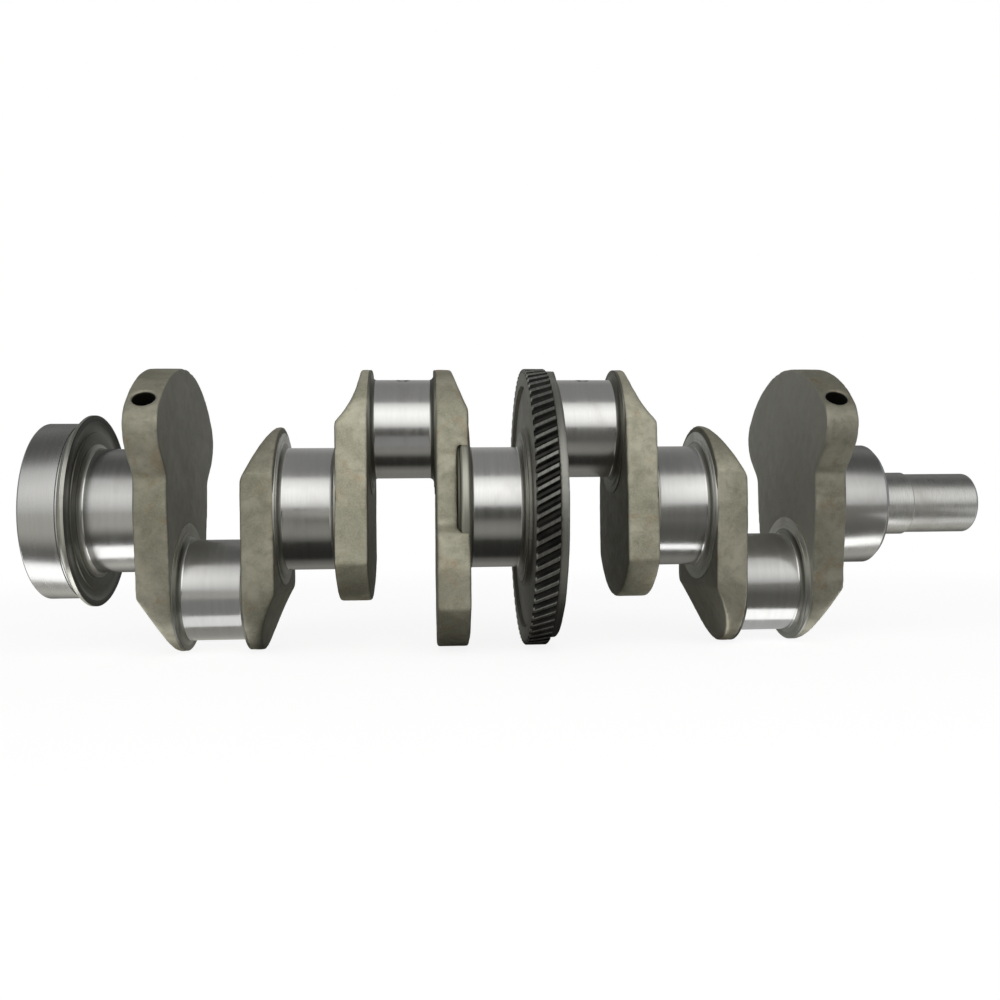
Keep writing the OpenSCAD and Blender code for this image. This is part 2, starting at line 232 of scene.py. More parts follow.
def hole_painted_shade(m, hole_x, tilt, hole_r, rim):
    """1 inside a drilling that goes down from a web's rim, tilt round the main axis from upright: where the
    drilling's inside is painted dark as shade.
    """
    x, y, z = m.xyz()
    up = m.math("SUBTRACT", m.math("MULTIPLY", z, math.cos(tilt)), m.math("MULTIPLY", y, math.sin(tilt)))
    aside = m.math("ADD", m.math("MULTIPLY", y, math.cos(tilt)), m.math("MULTIPLY", z, math.sin(tilt)))
    off = m.length(aside, m.math("SUBTRACT", x, hole_x))
    inside = m.math("MULTIPLY", m.ramp(off, hole_r + 0.0005, hole_r + 0.0001),
                    m.ramp(up, rim - 0.0004, rim - 0.002))
    return m.math("MULTIPLY", inside, m.ramp(up, 0.0, 0.005))


def forged_steel(name, seed, tone, side, hole=None):
    """Shot-blasted forging. Its faces across the axis take the colour side, as painted shade."""
    m = Nodes(name)

    def shade(r, g, b):
        return rgb(r * tone, g * tone, b * tone)

    x, y, z = m.xyz()
    spot = m.combine(m.math("ADD", x, seed), y, z)
    grain = m.noise(spot, 900.0, 3.0, 0.7)
    scale = m.noise(spot, 120.0, 5.0, 0.65, 0.3)
    cloud = m.noise(spot, 22.0, 4.0, 0.6, 0.6)
    rust = m.noise(spot, 46.0, 5.0, 0.6, 1.0)
    color = m.mix(m.ramp(cloud, 0.36, 0.64), shade(0.38, 0.37, 0.28), shade(0.58, 0.56, 0.45))
    color = m.mix(m.ramp(scale, 0.42, 0.72, 0.0, 0.55), color, shade(0.30, 0.29, 0.215))
    color = m.mix(m.ramp(rust, 0.54, 0.74, 0.0, 0.65), color, shade(0.43, 0.32, 0.19))
    color = m.mix(m.ramp(grain, 0.35, 0.7, 0.0, 0.35), color, shade(0.66, 0.64, 0.53))
    # Painted shade on the faces across the axis.
    side_painted_shade = m.math("ABSOLUTE", m.xyz(m.add("NewGeometry").outputs["Normal"])[0])
    color = m.mix(m.ramp(side_painted_shade, 0.45, 0.95, 0.0, 0.8), color, rgb(*side))
    # Painted shade: the inside of the balance drilling is near black.
    if hole is not None:
        color = m.mix(hole_painted_shade(m, *hole), color, rgb(0.025, 0.024, 0.02))
    rough = m.math("ADD", m.ramp(scale, 0.3, 0.7, 0.50, 0.62), m.ramp(grain, 0.3, 0.7, 0.0, 0.08))
    peen = m.bump(grain, 0.00022, 0.5)
    return m.surface(color, rough, 0.72, m.bump(scale, 0.0005, 0.45, peen))


def gear_steel(name, tip_r, end_x):
    """Dark hardened teeth, with lighter lands, and a painted highlight on the chamfer round the end at end_x.
    """
    m = Nodes(name)
    lines, r = turning(m, 0.0, 700.0)
    film = m.noise(m.pos, 90.0, 5.0, 0.65, 0.4)
    tip = m.ramp(r, tip_r - 0.0008, tip_r - 0.0002)
    body = m.mix(m.ramp(film, 0.35, 0.7), rgb(0.022, 0.022, 0.02), rgb(0.055, 0.054, 0.048))
    land = m.mix(m.ramp(lines, 0.3, 0.7), rgb(0.2, 0.2, 0.185), rgb(0.31, 0.31, 0.287))
    color = m.mix(tip, body, land)
    # Painted highlight on the tooth chamfer at end_x.
    end = m.math("MULTIPLY", m.ramp(m.xyz()[0], end_x + 0.0011, end_x + 0.0008),
                 m.ramp(r, tip_r - 0.0022, tip_r - 0.0012))
    color = m.mix(m.math("MULTIPLY", end, 0.75), color, rgb(0.42, 0.42, 0.39))
    rough = m.ramp(film, 0.3, 0.7, 0.36, 0.5)
    return m.surface(color, rough, 0.85, m.bump(film, 0.0002, 0.3))


# ------------------------------------------------------------------ meshes
def smooth_by_angle(me, angle=32):
    """Smooth shading, but for edges that turn by more than angle degrees."""
    bm = bmesh.new()
    bm.from_mesh(me)
    bmesh.ops.recalc_face_normals(bm, faces=bm.faces)
    for f in bm.faces:
        f.smooth = True
    for e in bm.edges:
        e.smooth = not (len(e.link_faces) == 2 and e.calc_face_angle(0.0) > math.radians(angle))
    bm.to_mesh(me)
    bm.free()


def mesh_object(name, verts, faces):
    me = bpy.data.meshes.new(name)
    me.from_pydata([tuple(v) for v in verts], [], faces)
    me.update()
    obj = bpy.data.objects.new(name, me)
    bpy.context.scene.collection.objects.link(obj)
    return obj


def lathe(name, profile, centre_z=0.0, seg=SEG):
    """Turns [x, r] points, in millimetres, about an axis along X at centre_z, in metres. A radius of 0
    closes an end, and a profile that comes back to its first point makes a ring."""
    ring = profile[0] == profile[-1]
    points = profile[:-1] if ring else profile
    verts, rings = [], []
    for x, r in points:
        if r <= 0:
            rings.append([len(verts)])
            verts.append((x * MM, 0.0, centre_z))
        else:
            rings.append(list(range(len(verts), len(verts) + seg)))
            for i in range(seg):
                a = 2 * math.pi * i / seg
                verts.append((x * MM, r * MM * math.cos(a), centre_z + r * MM * math.sin(a)))
    faces = []
    for a, b in zip(rings, rings[1:] + (rings[:1] if ring else [])):
        for i in range(seg):
            j = (i + 1) % seg
            if len(a) == 1:
                faces.append((a[0], b[j], b[i]))
            elif len(b) == 1:
                faces.append((a[i], a[j], b[0]))
            else:
                faces.append((a[i], a[j], b[j], b[i]))
    return mesh_object(name, verts, faces)


def arc(cx, cr, r, a0, a1, n=10):
    """Points of an arc round [cx, cr], from a0 to a1 degrees."""
    return [
        (cx + r * math.cos(math.radians(a0 + (a1 - a0) * i / n)),
         cr + r * math.sin(math.radians(a0 + (a1 - a0) * i / n)))
        for i in range(n + 1)
    ]


def moved(obj, at):
    """Moves a mesh by a vector in millimetres."""
    obj.data.transform(Matrix.Translation(Vector(at) * MM))
    return obj


def aimed(obj, at, way):
    """Moves a mesh made along +X so that it starts at a place and runs another way."""
    turn = Vector((1, 0, 0)).rotation_difference(way.normalized()).to_matrix().to_4x4()
    obj.data.transform(Matrix.Translation(at * MM) @ turn)
    return obj


def modified(obj, kind, **settings):
    """Applies one modifier and keeps only its result."""
    mod = obj.modifiers.new("work", kind)
    for key, value in settings.items():
        setattr(mod, key, value)
    deps = bpy.context.evaluated_depsgraph_get()
    me = bpy.data.meshes.new_from_object(obj.evaluated_get(deps))
    obj.modifiers.clear()
    old = obj.data
    obj.data = me
    bpy.data.meshes.remove(old)
    return obj


def cut(obj, *tools):
    """Takes the tools' shapes away, deletes the tools and joins points that the cuts left together."""
    for tool in tools:
        smooth_by_angle(tool.data)
        bpy.context.view_layer.update()
        modified(obj, "BOOLEAN", operation="DIFFERENCE", solver="EXACT", object=tool)
        me = tool.data
        bpy.data.objects.remove(tool)
        bpy.data.meshes.remove(me)
    bm = bmesh.new()
    bm.from_mesh(obj.data)
    bmesh.ops.remove_doubles(bm, verts=bm.verts, dist=WELD)
    bm.to_mesh(obj.data)
    bm.free()
    return obj


def finish_piece(obj, material, replaced):
    smooth_by_angle(obj.data)
    obj.data.materials.clear()
    obj.data.materials.append(material)
    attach(obj, "root")
    if replaced:
        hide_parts(*replaced)
    return obj


def paint(obj, material, where):
    """Gives one more material to the faces where(face) picks."""
    obj.data.materials.append(material)
    index = len(obj.data.materials) - 1
    for f in obj.data.polygons:
        if where(f):
            f.material_index = index


def face_x(f):
    return f.center.x / MM


def face_r(f):
    """A face's distance from the main axis, in millimetres."""
    return math.hypot(f.center.y, f.center.z) / MM


def copy_of(node, name):
    obj = bpy.data.objects.new(name, nodes[node].data.copy())
    bpy.context.scene.collection.objects.link(obj)
    return obj


# ------------------------------------------------------------------ sizes
def span(node):
    """Lowest and highest corner of a node, in millimetres."""
    lo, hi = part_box(node)
    return [v / MM for v in lo], [v / MM for v in hi]


MAIN_R = 42.8
PIN_R = 34.9
# The rolled fillet at a journal's ends, and how much of it counts as ground
FILLET = 3.3
FILLET_GROUND = 0.75
# An oil drilling: its radius, its mouth's radius and depth, and the angle of its mouth round a crankpin
OIL_R = 3.2
OIL_MOUTH_R = 5.2
OIL_SINK = 1.6
OIL_ANGLE = 16.0
# How far a drilling's cutter stands out of the metal
OIL_OVER = 4.0

# Each main journal's ends, and each crankpin's ends and height
mains = []
for i in range(1, 6):
    lo, hi = span(f"main_journal_{i}")
    mains.append((lo[0], hi[0]))
pins = []
for i in range(1, 5):
    lo, hi = span(f"crankpin_{i}")
    pins.append((lo[0], hi[0], round((lo[2] + hi[2]) / 2, 2)))
THROW = abs(pins[0][2])
# Which main journal feeds each crankpin
OIL_SOURCE = [0, 1, 3, 4]

# ------------------------------------------------------------------ materials in use
UP, DOWN = THROW * MM, -THROW * MM
ground = ground_steel("ground_steel")
ground_up = ground_steel("ground_steel_up", UP)
ground_down = ground_steel("ground_steel_down", DOWN)
seal_steel = ground_steel("seal_steel", 0.0, 0.80, 0.23)
nose_steel = turned_steel("nose_steel", 0.0, 0.93, 0.27, 2300.0, 0.08, 0.98)
collar_steel = turned_steel("collar_steel", 0.0, 0.66, 0.42, 700.0, 0.2, 0.88)
# Painted shade: a dark copy of the collar steel for the groove.
painted_groove_shade = turned_steel("painted_groove_shade", 0.0, 0.2, 0.5, 700.0, 0.2, 0.8)
rim_steel = turned_steel("rim_steel", 0.0, 0.46, 0.42, 900.0, 0.2, 0.93)
# Painted light and shade: the boss steels are copies of one turned steel, lighter or darker by where they
# sit, some darker towards the bottom.
boss = turned_steel("boss_steel", 0.0, 0.58, 0.42, 900.0, 0.2, 0.92)
boss_painted_light = turned_steel("boss_steel_painted_light", 0.0, 1.0, 0.42, 900.0, 0.15, 0.97, 0.45)
boss_up = turned_steel("boss_steel_up", UP, 0.34, 0.46, 900.0, 0.2, 0.86)
boss_down = turned_steel("boss_steel_down", DOWN, 0.56, 0.46, 900.0, 0.2, 0.88, 0.5)
boss_down_painted_light = turned_steel("boss_steel_down_painted_light", DOWN, 0.9, 0.46, 900.0, 0.2, 0.93, 0.4)
# Painted shade: the fillet steels are darker copies of the journal steel, darkest on the upper crankpins.
shaded_fillet_main = turned_steel("fillet_steel", 0.0, 0.5, 0.36, 1500.0, 0.1, 0.93)
shaded_fillet_up = turned_steel("fillet_steel_up", UP, 0.3, 0.4, 1500.0, 0.1, 0.9)
shaded_fillet_down = turned_steel("fillet_steel_down", DOWN, 0.34, 0.4, 1500.0, 0.1, 0.9)
# Painted light: the slinger's cone and dished face take a dark copy as painted shade, its outer rim a bright
# copy as painted highlight, and the rim's face a darker copy as painted shade.
slinger_painted_shade = turned_steel("slinger_steel", 0.0, 0.24, 0.42, 700.0, 0.2, 0.9)
slinger_painted_highlight = turned_steel("slinger_rim_steel", 0.0, 0.85, 0.3, 700.0, 0.15, 0.92)
slinger_edge_painted_shade = turned_steel("slinger_edge_steel", 0.0, 0.13, 0.45, 700.0, 0.2, 0.9)
# The steel of web 4 and of the gear's end faces, darker towards the bottom as painted shade.
web_turned = turned_steel("web_turned_steel", 0.0, 0.5, 0.46, 700.0, 0.2, 0.9, 0.6)


# ------------------------------------------------------------------ journals
def drill(p, m):
    """Cutters for the straight oil drilling from crankpin p to the far side of main journal m, and for
    the countersinks at its ends."""
    x0, x1, height = pins[p]
    side = 1 if height > 0 else -1
    a = math.radians(OIL_ANGLE)
    outward = Vector((0, -side * math.sin(a), side * math.cos(a)))
    pin_mouth = Vector(((x0 + x1) / 2, 0, side * THROW)) + outward * PIN_R
    backward = -Vector((0, pin_mouth.y, pin_mouth.z)).normalized()
    main_mouth = Vector((sum(mains[m]) / 2, 0, 0)) + backward * MAIN_R
    way = pin_mouth - main_mouth
    end = way.length + OIL_OVER
    run = [(-OIL_OVER, 0.0), (-OIL_OVER, OIL_R), (end, OIL_R), (end, 0.0)]
    sink = [(-OIL_SINK, 0.0), (-OIL_SINK, OIL_R), (OIL_SINK, 2 * OIL_MOUTH_R - OIL_R), (OIL_SINK, 0.0)]
    return [aimed(lathe("drill", outline, 0.0, TOOL_SEG), at, along)
            for outline, at, along in (
                (run, main_mouth, way), (sink, pin_mouth, outward), (sink, main_mouth, backward))]


def journal(node, x0, x1, r, centre_z, ground_part, shaded_fillet_part, drilling=None, nose_end=False):
    """A journal. Its rolled fillets are duller than its ground middle, and their darker colour is painted
    shade. A nose end has a chamfer instead.
    """
    left = arc(x0 + FILLET, r + FILLET, FILLET, 180, 270)
    right = arc(x1 - FILLET, r + FILLET, FILLET, 270, 360)
    if nose_end:
        right = [(x1 - 3.3, r), (x1 - 2.9, r - 0.15), (x1 - 0.15, r - 2.75), (x1, r - 3.1)]
    profile = [(x0, 0.0), (x0, r + FILLET - 0.01)] + left[1:] + right + [(x1, 0.0)]
    obj = lathe(f"vis_{node}", profile, centre_z * MM)
    if drilling:
        cut(obj, *drill(*drilling))
    finish_piece(obj, ground_part, [node])
    # The countersinks turn by less than the usual angle
    smooth_by_angle(obj.data, 26)
    first = x0 + FILLET * FILLET_GROUND
    last = x1 if nose_end else x1 - FILLET * FILLET_GROUND
    paint(obj, shaded_fillet_part, lambda f: not first < face_x(f) < last)


for m, (x0, x1) in enumerate(mains):
    fed = (OIL_SOURCE.index(m), m) if m in OIL_SOURCE else None
    journal(f"main_journal_{m + 1}", x0, x1, MAIN_R, 0.0, ground, shaded_fillet_main, fed, m == 0)
for p, (x0, x1, z) in enumerate(pins):
    journal(f"crankpin_{p + 1}", x0, x1, PIN_R, z, ground_up if z > 0 else ground_down,
            shaded_fillet_up if z > 0 else shaded_fillet_down, (p, OIL_SOURCE[p]))

# ------------------------------------------------------------------ webs
# The outer and inner radius of the two turned steps round a main journal and round a crankpin
MAIN_BOSS = (MAIN_R + FILLET + 7, MAIN_R + FILLET + 2.4)
PIN_BOSS = (PIN_R + FILLET + 8.2, PIN_R + FILLET + 3.2)
# The steps' height, bevel and depth in the web, and how far their bore goes under the fillet
STEP = 0.4
STEP_BEVEL = 0.12
STEP_ROOT = 1.6
STEP_UNDER = 0.6
# How far a step stays inside a web's edge
STEP_MARGIN = 0.3
# How deep a web is flat under its steps, and how far round them
FLAT_DEPTH = 1.0
FLAT_MARGIN = 1.5
# The radius of a web's rounded pin end, and the radius that the webs sweep
PIN_END_R = 50.0
SWEEP_R = 98.0
# The balance drilling in webs 1 and 8: its place from the main journal's end, angle and radius
BALANCE_X = 11.95
BALANCE_ANGLE = 44.5
BALANCE_R = 7.0
# A forging's unevenness as [waves per metre, height in millimetres, shift from web to web]
UNEVEN = ((38, 0.22, 7.3), (150, 0.09, 3.1))
# How far a web's faces are drawn in, to leave room for the unevenness
DRAWN_IN = 0.12
# How light each forged web's front is, as painted light that differs from web to web, and the colour of its
# faces across the axis, which is painted shade
WEB_PAINTED_LIGHT = {1: 0.82, 2: 1.12, 3: 1.28, 5: 1.24, 6: 1.46, 7: 1.08, 8: 1.03}
WEB_PAINTED_SHADE = {1: (0.56, 0.555, 0.50), 2: (0.165, 0.163, 0.135), 3: (0.165, 0.165, 0.142),
            5: (0.4, 0.39, 0.32), 6: (0.11, 0.11, 0.09), 7: (0.22, 0.218, 0.178), 8: (0.34, 0.337, 0.30)}
# The rim of web 4 beside the ring gear
GEAR_WEB_RIM_R = 91.5


def web_place(w):
    """The way from web w's main journal to its crankpin, those journals' ends and the crankpin's height."""
    main = mains[w // 2]
    pin = pins[(w + 1) // 2 - 1]
    if w % 2 == 0:
        return 1, main[1], pin[0], pin[2]
    return -1, main[0], pin[1], pin[2]


def boss_rings(name, at, way, radii, bore, centre_z, material, reach=None):
    """Two turned steps round a journal. at is the journal's end and way the side the web lies.
    With reach, the steps end with the web's rounded end, at most reach from the main axis."""
    outer, inner = radii
    outline = [(STEP_ROOT, outer), (STEP + STEP_BEVEL, outer), (STEP, outer - STEP_BEVEL), (STEP, inner),
               (STEP_BEVEL, inner), (0.0, inner - STEP_BEVEL), (0.0, bore), (STEP_ROOT, bore),
               (STEP_ROOT, outer)]
    obj = lathe(name, [(at + way * x, r) for x, r in outline], centre_z * MM)
    if reach:
        side = 1 if centre_z > 0 else -1
        edges = ((THROW - SWEEP_R + PIN_END_R, PIN_END_R - STEP_MARGIN), (THROW, reach - STEP_MARGIN))
        for v in obj.data.vertices:
            y, z = v.co.y / MM, v.co.z / MM - centre_z
            r = math.hypot(y, z)
            limit = outer
            # An edge is a circle of radius edge whose centre is off towards the main axis
            for off, edge in edges:
                b = off * side * z / r
                limit = min(limit, math.sqrt(b * b - off * off + edge * edge) - b)
            limit -= 0.1 * (outer - r)
            if r > limit:
                v.co.y = y / r * limit * MM
                v.co.z = (z / r * limit + centre_z) * MM
    return finish_piece(obj, material, [])


def array_of(items, what, width, kind=float):
    values = np.empty(len(items) * width, kind)
    items.foreach_get(what, values)
    return values.reshape(-1, width)


def flattened(co, way, main_face, pin_face, pin_z):
    """Sinks the web under the turned steps, which are pieces of their own."""
    main_r = np.hypot(co[:, 1], co[:, 2]) / MM
    pin_r = np.hypot(co[:, 1], co[:, 2] - pin_z * MM) / MM
    main_depth = way * (co[:, 0] / MM - main_face)
    pin_depth = way * (pin_face - co[:, 0] / MM)
    co[(main_r < MAIN_BOSS[0] + FLAT_MARGIN) & (main_depth < FLAT_DEPTH), 0] = (
        main_face + way * FLAT_DEPTH) * MM
    co[(pin_r < PIN_BOSS[0] + FLAT_MARGIN) & (pin_depth < FLAT_DEPTH), 0] = (
        pin_face - way * FLAT_DEPTH) * MM
    return co


def smoothed(co, edges, rounds):
    """Moves each point towards its neighbours' middle, which rounds the forged edges."""
    n = len(co)
    count = np.bincount(edges.ravel(), minlength=n).astype(float)[:, None]
    for _ in range(rounds):
        total = np.zeros_like(co)
        for k in range(3):
            total[:, k] = np.bincount(edges[:, 0], co[edges[:, 1], k], n) + np.bincount(
                edges[:, 1], co[edges[:, 0], k], n)
        co = co * 0.45 + total / count * 0.55
    return co


def web(w, material, voxel=1.1, rounds=7):
    node = f"crank_web_{w}"
    way, main_face, pin_face, pin_z = web_place(w)
    obj = modified(copy_of(node, f"vis_{node}"), "REMESH", mode="VOXEL", voxel_size=voxel * MM,
                   adaptivity=0.0)
    me = obj.data
    co = flattened(array_of(me.vertices, "co", 3), way, main_face, pin_face, pin_z)
    co = smoothed(co, array_of(me.edges, "vertices", 2, int), rounds)
    me.vertices.foreach_set("co", co.ravel())
    me.update()
    normals = array_of(me.vertices, "normal", 3)
    wave = np.array([
        sum(noise.noise(Vector((x * fine + w * shift, y * fine, z * fine))) * height
            for fine, height, shift in UNEVEN)
        for x, y, z in co
    ])
    co = co + normals * (wave - DRAWN_IN)[:, None] * MM
    lo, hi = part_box(node)
    co = np.clip(co, np.array(lo), np.array(hi))
    me.vertices.foreach_set("co", co.ravel())
    me.update()
    finish_piece(obj, material, [node])
    # Webs 2 and 7 take the lighter main boss copy, and web 1 the lighter lower pin boss copy, as painted
    # light.
    boss_rings(f"vis_web_{w}_main_boss", main_face, way, MAIN_BOSS, MAIN_R + FILLET - STEP_UNDER, 0.0,
               boss_painted_light if w in (2, 7) else boss)
    boss_rings(f"vis_web_{w}_pin_boss", pin_face, -way, PIN_BOSS, PIN_R + FILLET - STEP_UNDER, pin_z,
               boss_up if pin_z > 0 else boss_down_painted_light if w == 1 else boss_down,
               SWEEP_R - 1.5 if w == 4 else SWEEP_R)
    return obj


def balance_hole(w):
    way, main_face = web_place(w)[:2]
    return (main_face + way * BALANCE_X) * MM, math.radians(BALANCE_ANGLE), BALANCE_R * MM, SWEEP_R * MM


for w, tone in WEB_PAINTED_LIGHT.items():
    hole = balance_hole(w) if w in (1, 8) else None
    web(w, forged_steel(f"forged_steel_{w}", w * 0.37, tone, WEB_PAINTED_SHADE[w], hole))
gear_web = web(4, web_turned, 0.9, 3)
paint(gear_web, rim_steel, lambda f: face_r(f) > GEAR_WEB_RIM_R and abs(f.normal.x) < 0.6)

# ------------------------------------------------------------------ balancer drive gear
TEETH = 72
HELIX = math.radians(28)
GEAR_SEAT_R = 86.0
GEAR_CHAMFER = 0.9
# A tooth's depth in modules
TOOTH_DEPTH = 2.1
# Half a tooth, as [share of the pitch from its centre, share of the depth up from its root]
HALF_TOOTH = [(0.5, 0.0), (0.38, 0.02), (0.33, 0.12), (0.27, 0.38), (0.21, 0.65), (0.15, 0.88), (0.12, 1.0)]
GEAR_SLICES = 8


def balancer_gear():
    lo, hi = span("balancer_drive_gear")
    width = hi[0] - lo[0]
    tip = (hi[2] - lo[2]) / 2
    depth = TOOTH_DEPTH * tip / TEETH
    pitch = 2 * math.pi / TEETH
    shape = [(-a, h) for a, h in HALF_TOOTH] + [(0.0, 1.0)] + [(a, h) for a, h in reversed(HALF_TOOTH[1:])]
    # Slices across the gear as [place along it, how far the chamfer cuts its tips]
    slices = [(0.0, GEAR_CHAMFER), (GEAR_CHAMFER, 0.0)]
    slices += [(width * k / GEAR_SLICES, 0.0) for k in range(1, GEAR_SLICES)]
    slices += [(width - GEAR_CHAMFER, 0.0), (width, GEAR_CHAMFER)]
    verts, faces = [], []
    per = len(shape) * TEETH
    for x, drop in slices:
        turn = x * math.tan(HELIX) / tip
        for inner in (False, True):
            for t in range(TEETH):
                for a, h in shape:
                    ang = (t + a) * pitch + turn
                    r = GEAR_SEAT_R if inner else min(tip - depth + depth * h, tip - drop)
                    verts.append(((lo[0] + x) * MM, r * MM * math.sin(ang), r * MM * math.cos(ang)))
    ring = 2 * per
    for side in (0, per):
        for k in range(len(slices) - 1):
            for j in range(per):
                a = k * ring + side + j
                b = k * ring + side + (j + 1) % per
                faces.append((a, b, b + ring, a + ring))
    toothed = (len(slices) - 1) * per
    for k in (0, len(slices) - 1):
        for j in range(per):
            a = k * ring + j
            b = k * ring + (j + 1) % per
            faces.append((a, b, b + per, a + per))
    obj = mesh_object("vis_balancer_drive_gear", verts, faces)
    finish_piece(obj, gear_steel("gear_steel", tip * MM, lo[0] * MM), ["balancer_drive_gear"])
    paint(obj, web_turned, lambda f: f.index >= toothed)


balancer_gear()

# ------------------------------------------------------------------ thrust collar
THRUST_R = 64.0
# The narrow groove between the collar and web 5
GROOVE_R = 61.4
GROOVE = 1.6
# The rounding of the collar's edges, at the groove and at the bearing
COLLAR_BACK, COLLAR_FRONT = 2.2, 2.8


def thrust_collar():
    lo, hi = span("thrust_collar")
    start = lo[0] + GROOVE
    outline = [(lo[0], 0.0), (lo[0], GROOVE_R), (start - 0.3, GROOVE_R), (start, GROOVE_R + 0.3)]
    outline += arc(start + COLLAR_BACK, THRUST_R - COLLAR_BACK, COLLAR_BACK, 175, 90, 8)
    outline += arc(hi[0] - COLLAR_FRONT, THRUST_R - COLLAR_FRONT, COLLAR_FRONT, 90, 0)
    obj = lathe("vis_thrust_collar", outline + [(hi[0], 0.0)])
    finish_piece(obj, collar_steel, ["thrust_collar"])
    # The groove's faces take the painted shade.
    paint(obj, painted_groove_shade, lambda f: face_x(f) < start + 0.2)


thrust_collar()

# ------------------------------------------------------------------ rear end
# Six tapped holes on a circle, the first of them 30 degrees from the dowel, and the pilot bore
SCREWS = 6
SCREW_CIRCLE_R = 47.5
SCREW_R = 5.75
SCREW_DEPTH = 20
PILOT_R = 20.0
PILOT_DEPTH = 15
# The depth of a drill's point over the hole's radius
DRILL_POINT = 0.55


def hole_tool(x_open, x_end, r, mouth, y, z):
    """A blind hole with a chamfered mouth. It opens at x_open."""
    s = 1 if x_end > x_open else -1
    tool = lathe("hole", [
        (x_open - s, 0.0), (x_open - s, r + mouth + 1.0), (x_open + s * mouth, r),
        (x_end, r), (x_end + s * r * DRILL_POINT, 0.0)], 0.0, 64)
    return moved(tool, (0, y, z))


def rear_seal_journal():
    """Makes the flange with its holes, and gives its radius."""
    lo, hi = span("rear_seal_journal")
    x0, x1 = lo[0], hi[0]
    r = (hi[2] - lo[2]) / 2
    obj = lathe("vis_rear_seal_journal", [
        (x0, 0.0), (x0, r - 1.3), (x0 + 0.15, r - 1.0), (x0 + 1.05, r - 0.1), (x0 + 1.4, r),
        (x1 - 1.7, r), (x1 - 1.4, r - 0.8), (x1, r - 0.8), (x1, 0.0)])
    cut(obj, lathe("pilot", [
        (x0 - 1, 0.0), (x0 - 1, PILOT_R + 2.2), (x0 + 1.2, PILOT_R), (x0 + PILOT_DEPTH, PILOT_R),
        (x0 + PILOT_DEPTH, 0.0)]))
    for k in range(SCREWS):
        a = math.radians(30 + 360 / SCREWS * k)
        cut(obj, hole_tool(x0, x0 + SCREW_DEPTH, SCREW_R, 0.8, -SCREW_CIRCLE_R * math.sin(a),
                           SCREW_CIRCLE_R * math.cos(a)))
    finish_piece(obj, seal_steel, ["rear_seal_journal"])
    return r


def oil_slinger(seal_r):
    """A cone up from the seal journal, a thin rim, and a dished face towards main journal 5."""
    lo, hi = span("oil_slinger")
    x0, x1 = lo[0], hi[0]
    r = (hi[2] - lo[2]) / 2
    rim = x0 + 6.5
    dish_r = 62.0
    obj = lathe("vis_oil_slinger", [
        (x0, 0.0), (x0, seal_r + 0.6), (x0 + 0.4, seal_r + 1.0), (x0 + 3.4, r - 0.8), (x0 + 3.7, r - 0.9),
        (x0 + 4.0, r - 0.3), (x0 + 4.3, r), (rim - 0.35, r), (rim, r - 0.35), (rim, dish_r),
        (rim - 0.15, dish_r - 0.3), (rim - 0.7, 59.4), (rim - 0.8, 58.8), (rim - 0.8, 55.0),
        (rim - 0.6, 54.5), (rim + 0.1, 54.3), (rim + 0.25, 54.0), (rim + 0.25, 48.6), (x1, 48.4), (x1, 0.0)])
    finish_piece(obj, slinger_painted_shade, ["oil_slinger"])
    # Painted highlight on the outer rim, and painted shade on the rim's face towards main journal 5.
    paint(obj, slinger_painted_highlight, lambda f: face_r(f) > dish_r - 0.1 and face_x(f) < rim - 0.2)
    paint(obj, slinger_edge_painted_shade, lambda f: face_r(f) > dish_r - 0.1 and face_x(f) >= rim - 0.2)


oil_slinger(rear_seal_journal())

# ------------------------------------------------------------------ nose
TIMING_SEAT_R = 22.6
# A half-moon key's slot: its radius, its play on each side, and its centre's height over the key's top
KEY_R = 11.05
KEY_PLAY = 0.02
KEY_CENTRE = 1.5
# The tapped hole for the pulley screw
NOSE_SCREW_R = 7.2
NOSE_SCREW_DEPTH = 41


def key_tool(node):
    """The cutter for a half-moon key's slot."""
    lo, hi = span(node)
    half_w = (hi[2] - lo[2]) / 2 + KEY_PLAY
    tool = lathe("slot", [(-half_w, 0.0), (-half_w, KEY_R), (half_w, KEY_R), (half_w, 0.0)], 0.0, 96)
    tool.data.transform(Matrix.Rotation(math.pi / 2, 4, "Y"))
    return moved(tool, ((lo[0] + hi[0]) / 2, hi[1] + KEY_CENTRE, 0))


def nose_piece(node, outline, *tools):
    obj = cut(lathe(f"vis_{node}", outline), *tools)
    finish_piece(obj, nose_steel, [node])


def timing_gear_seat():
    lo, hi = span("timing_gear_seat")
    x0, x1, r = lo[0], hi[0], TIMING_SEAT_R
    nose_piece("timing_gear_seat", [
        (x0, 0.0), (x0, r + 1.0), (x0 + 0.35, r + 0.45), (x0 + 1.0, r + 0.08), (x0 + 1.5, r),
        (x1 - 1.1, r), (x1 - 0.15, r - 0.85), (x1, r - 1.0), (x1, 0.0)],
        key_tool("timing_gear_key"))


def pulley_seat():
    lo, hi = span("pulley_seat")
    x0, x1 = lo[0], hi[0]
    r = (hi[2] - lo[2]) / 2
    end_round = arc(x1 - 2.5, r - 2.5, 2.5, 80, 12, 6)
    nose_piece("pulley_seat", [
        (x0, 0.0), (x0, r), (x1 - 2.7, r)] + end_round + [(x1, r - 2.6), (x1, 0.0)],
        key_tool("pulley_key"), hole_tool(x1, x1 - NOSE_SCREW_DEPTH, NOSE_SCREW_R, 3.0, 0, 0))


timing_gear_seat()
pulley_seat()

# ------------------------------------------------------------------ keys and dowel
DOWEL_R = 6.35
pin_steel = turned_steel("pin_steel", 0.0, 0.42, 0.36, 500.0)
dowel_steel = turned_steel("dowel_steel", SCREW_CIRCLE_R * MM, 0.55, 0.3, 800.0)

